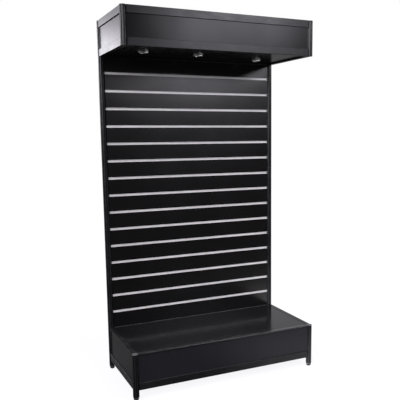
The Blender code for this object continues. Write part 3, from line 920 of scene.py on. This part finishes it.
def build_board_clips():
    """Cranked straps that screw the board's back to the groove in each upright's rear flat."""
    low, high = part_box("slat_board")
    for side, out in zip(SIDES, (-1, 1)):
        post_low, post_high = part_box(f"upright_{side}")
        post_x = abs(post_low.x + post_high.x) / 2
        step = post_high.y - high.y
        edge = post_x - (post_high.x - post_low.x) / 2
        start = edge - STRAP_ON_BOARD
        outline = [(out * x, y + 0.15 * MM) for x, y in strap_outline(start, edge, post_x, step)]
        on_strap = high.y + STRAP_THICKNESS + 0.2 * MM
        spots = [(start + 9 * MM, on_strap, dz) for dz in (-10 * MM, 10 * MM)]
        spots.append((post_x, on_strap + step, 0.0))
        straps = bmesh.new()
        screws = bmesh.new()
        for k in range(STRAP_ROWS):
            z = low.z + STRAP_MARGIN + (high.z - low.z - 2 * STRAP_MARGIN) * k / (STRAP_ROWS - 1)
            place = Matrix.Translation((0, high.y, z - STRAP_HEIGHT / 2))
            prism(outline, STRAP_HEIGHT, bm=straps, place=place)
            for x, y, dz in spots:
                spot = (out * x, y, z + dz)
                screw_place = axes_place(spot, (-1, 0, 0), (0, 0, 1), (0, 1, 0))
                pan_screw(screws, screw_place, STRAP_SCREW_R)
        strap_piece = new_object(f"board_straps_{side}", straps, MATS["zinc"], smooth_angle=30)
        add_bevel(strap_piece, 0.4 * MM)
        screw_piece = new_object(f"board_screws_{side}", screws, MATS["zinc"], smooth_angle=30)


# ----------------------------------------------------------------------- stage

# Camera: place relative to the middle of the slat face on the floor, and its aim in radians.
CAMERA_PLACE = Vector((-1.3860, -3.4557, 1.4014))
CAMERA_YAW = 0.4525
CAMERA_PITCH = -0.1411
CAMERA_ROLL = -0.0072
CAMERA_LENS = 53.8
CAMERA_SHIFT = (-0.0892, 0.0498)


def build_camera():
    data = bpy.data.cameras.new("camera")
    data.lens = CAMERA_LENS
    data.sensor_width = 36.0
    data.shift_x, data.shift_y = CAMERA_SHIFT
    data.clip_start = 0.05
    data.clip_end = 100.0
    camera = bpy.data.objects.new("camera", data)
    bpy.context.scene.collection.objects.link(camera)
    face = Vector((0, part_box("slat_board")[0].y, 0))
    turn = Matrix.Rotation(-CAMERA_YAW, 4, "Z") @ Matrix.Rotation(math.pi / 2 + CAMERA_PITCH, 4, "X")
    turn = turn @ Matrix.Rotation(CAMERA_ROLL, 4, "Z")
    camera.matrix_world = Matrix.Translation(face + CAMERA_PLACE) @ turn
    bpy.context.scene.camera = camera


# Floor: its own brightness to the camera, then in reflections in front of the bay, behind it and
# in a patch close to its right front, which the lamp rings pick up.
FLOOR_GLOW_SEEN = 0.90
FLOOR_GLOW_FRONT = 0.06
FLOOR_GLOW_BACK = 0.18
FLOOR_GLOW_PATCH = 1.5
FLOOR_HALF = 30.0


def build_floor():
    """Wide pale floor. It looks white to the camera and stays modest in reflections."""
    n = Nodes("pale_floor")
    camera_ray = n.add("LightPath").outputs["Is Camera Ray"]
    other_ray = n.math("SUBTRACT", 1.0, camera_ray)
    place = n.add("SeparateXYZ")
    n.link(n.coords, place.inputs["Vector"])
    sides = n.span(place.outputs["Y"], FLOOR_GLOW_FRONT, FLOOR_GLOW_BACK, -0.3, 0.3)
    across = n.span(place.outputs["X"], 0.0, FLOOR_GLOW_PATCH, 0.0, 0.5)
    near = n.span(place.outputs["Y"], 0.0, 1.0, -1.2, -0.7)
    behind = n.span(place.outputs["Y"], 0.0, 1.0, -0.1, 0.2)
    patch = n.math("MULTIPLY", across, n.math("SUBTRACT", near, behind))
    reflected = n.math("ADD", sides, patch)
    grain = n.span(n.noise(3, 2, 0.5), 0.11, 0.12)
    shade = n.add("CombineColor")
    for channel in ("Red", "Green", "Blue"):
        n.link(n.math("MULTIPLY", camera_ray, grain), shade.inputs[channel])
    n.colour(shade.outputs["Color"])
    n.set(Roughness=0.9, Specular_IOR_Level=0.0)
    n.shader.inputs["Emission Color"].default_value = (0.99, 0.985, 1.0, 1)
    seen = n.math("MULTIPLY", camera_ray, FLOOR_GLOW_SEEN)
    glow = n.math("ADD", seen, n.math("MULTIPLY", other_ray, reflected))
    n.link(glow, n.shader.inputs["Emission Strength"])
    bm = bmesh.new()
    corners = ((-1, -1), (1, -1), (1, 1), (-1, 1))
    bm.faces.new([bm.verts.new((x * FLOOR_HALF, y * FLOOR_HALF, 0.0)) for x, y in corners])
    floor = new_object("floor", bm, n.mat, body=None)


# Soft boxes of the studio, seen in reflections only: direction, narrowness and brightness.
BACKDROP_BOX = ((-0.25, 0.955, 0.10), 9.0, 6.5)
LEFT_BOX = ((-0.95, -0.28, 0.16), 30.0, 7.0)
FRONT_LEFT_BOX = ((-0.64, -0.56, 0.52), 14.0, 6.5)
OVERHEAD_BOX = ((0.30, -0.42, 0.86), 34.0, 7.0)
REAR_RIGHT_BOX = ((0.45, 0.83, 0.36), 20.0, 0.6)
BACKDROP_FADE = 0.80
CEILING = 0.5
AMBIENT = 0.07
STUDIO_COLOUR = (0.985, 0.965, 1.03, 1)


def build_world():
    """White to the camera. In reflections it is a dim studio with soft boxes around the bay."""
    world = bpy.data.worlds.new("studio")
    bpy.context.scene.world = world
    world.use_nodes = True
    tree = world.node_tree
    tree.nodes.clear()

    def add(kind, **settings):
        node = tree.nodes.new("ShaderNode" + kind)
        for key, value in settings.items():
            setattr(node, key, value)
        return node

    def math_node(operation, a, b):
        node = add("Math", operation=operation)
        for slot, value in zip(node.inputs, (a, b)):
            if isinstance(value, (int, float)):
                slot.default_value = value
            else:
                tree.links.new(value, slot)
        return node.outputs["Value"]

    def times(a, b):
        return math_node("MULTIPLY", a, b)

    def plus(a, b):
        return math_node("ADD", a, b)

    def ramp(value, low, high):
        node = add("MapRange", interpolation_type="SMOOTHSTEP")
        node.inputs["From Min"].default_value = low
        node.inputs["From Max"].default_value = high
        tree.links.new(value, node.inputs["Value"])
        return node.outputs["Result"]

    def box(direction, power, brightness):
        node = add("VectorMath", operation="DOT_PRODUCT")
        tree.links.new(coords, node.inputs[0])
        node.inputs[1].default_value = Vector(direction).normalized()
        facing = math_node("MAXIMUM", node.outputs["Value"], 0.0)
        return times(math_node("POWER", facing, power), brightness)

    coords = add("TexCoord").outputs["Generated"]
    split = add("SeparateXYZ")
    tree.links.new(coords, split.inputs["Vector"])
    height = split.outputs["Z"]
    fading = math_node("SUBTRACT", 1.0, times(ramp(height, 0.125, 0.185), BACKDROP_FADE))
    backdrop = times(times(box(*BACKDROP_BOX), fading), ramp(height, 0.04, 0.12))
    left = times(box(*LEFT_BOX), ramp(height, -0.01, 0.09))
    high_boxes = plus(plus(box(*FRONT_LEFT_BOX), box(*OVERHEAD_BOX)), box(*REAR_RIGHT_BOX))
    soft = plus(times(ramp(height, 0.35, 0.9), CEILING), AMBIENT)
    studio = add("Background")
    studio.inputs["Color"].default_value = STUDIO_COLOUR
    total = plus(plus(plus(backdrop, left), high_boxes), soft)
    tree.links.new(total, studio.inputs["Strength"])
    white = add("Background")
    white.inputs["Color"].default_value = (1, 1, 1, 1)
    white.inputs["Strength"].default_value = 1.0
    mix = add("MixShader")
    tree.links.new(add("LightPath").outputs["Is Camera Ray"], mix.inputs["Fac"])
    tree.links.new(studio.outputs["Background"], mix.inputs[1])
    tree.links.new(white.outputs["Background"], mix.inputs[2])
    tree.links.new(mix.outputs["Shader"], add("OutputWorld").inputs["Surface"])


# Key light: place from its aim, size, power and colour, and the share that is left of it once it
# has passed from one glossy surface to another.
KEY_OFFSET = Vector((2.6, -5.55, 1.85))
KEY_AIM_HEIGHT = 1.3
KEY_SIZE = (1.9, 0.9)
KEY_POWER = 115
KEY_COLOUR = (0.97, 0.96, 1.05)
KEY_AFTER_BOUNCES = 0.1


def build_key_light():
    """Area light that fades after a bounce, so the board doesn't pass its glare to the deck."""
    data = bpy.data.lights.new("key_soft_box", "AREA")
    data.shape = "RECTANGLE"
    data.size, data.size_y = KEY_SIZE
    data.energy = KEY_POWER
    data.color = KEY_COLOUR
    data.use_nodes = True
    tree = data.node_tree
    emission = next(node for node in tree.nodes if node.type == "EMISSION")
    path = tree.nodes.new("ShaderNodeLightPath")
    fade = tree.nodes.new("ShaderNodeMapRange")
    fade.inputs["From Min"].default_value = 2.0
    fade.inputs["From Max"].default_value = 3.0
    fade.inputs["To Min"].default_value = 1.0
    fade.inputs["To Max"].default_value = KEY_AFTER_BOUNCES
    tree.links.new(path.outputs["Ray Depth"], fade.inputs["Value"])
    tree.links.new(fade.outputs["Result"], emission.inputs["Strength"])
    light = bpy.data.objects.new("key_soft_box", data)
    bpy.context.scene.collection.objects.link(light)
    middle = (cad_low + cad_high) / 2
    aim = Vector((middle.x, middle.y, KEY_AIM_HEIGHT))
    light.location = aim + KEY_OFFSET
    light.rotation_mode = "QUATERNION"
    light.rotation_quaternion = (-KEY_OFFSET).to_track_quat("-Z", "Y")


# ------------------------------------------------------------------------ main


def main():
    dress_frame()
    dress_boards()
    build_caps()
    build_feet()
    tops = {i: build_lamp(i) for i in LAMP_NUMBERS}
    for i in LAMP_NUMBERS:
        build_bezel(i)
    build_driver()
    build_cables(tops)
    build_lock_screws()
    build_board_clips()
    build_floor()
    build_world()
    build_key_light()
    build_camera()
    bpy.context.scene.view_settings.view_transform = "Standard"


main()
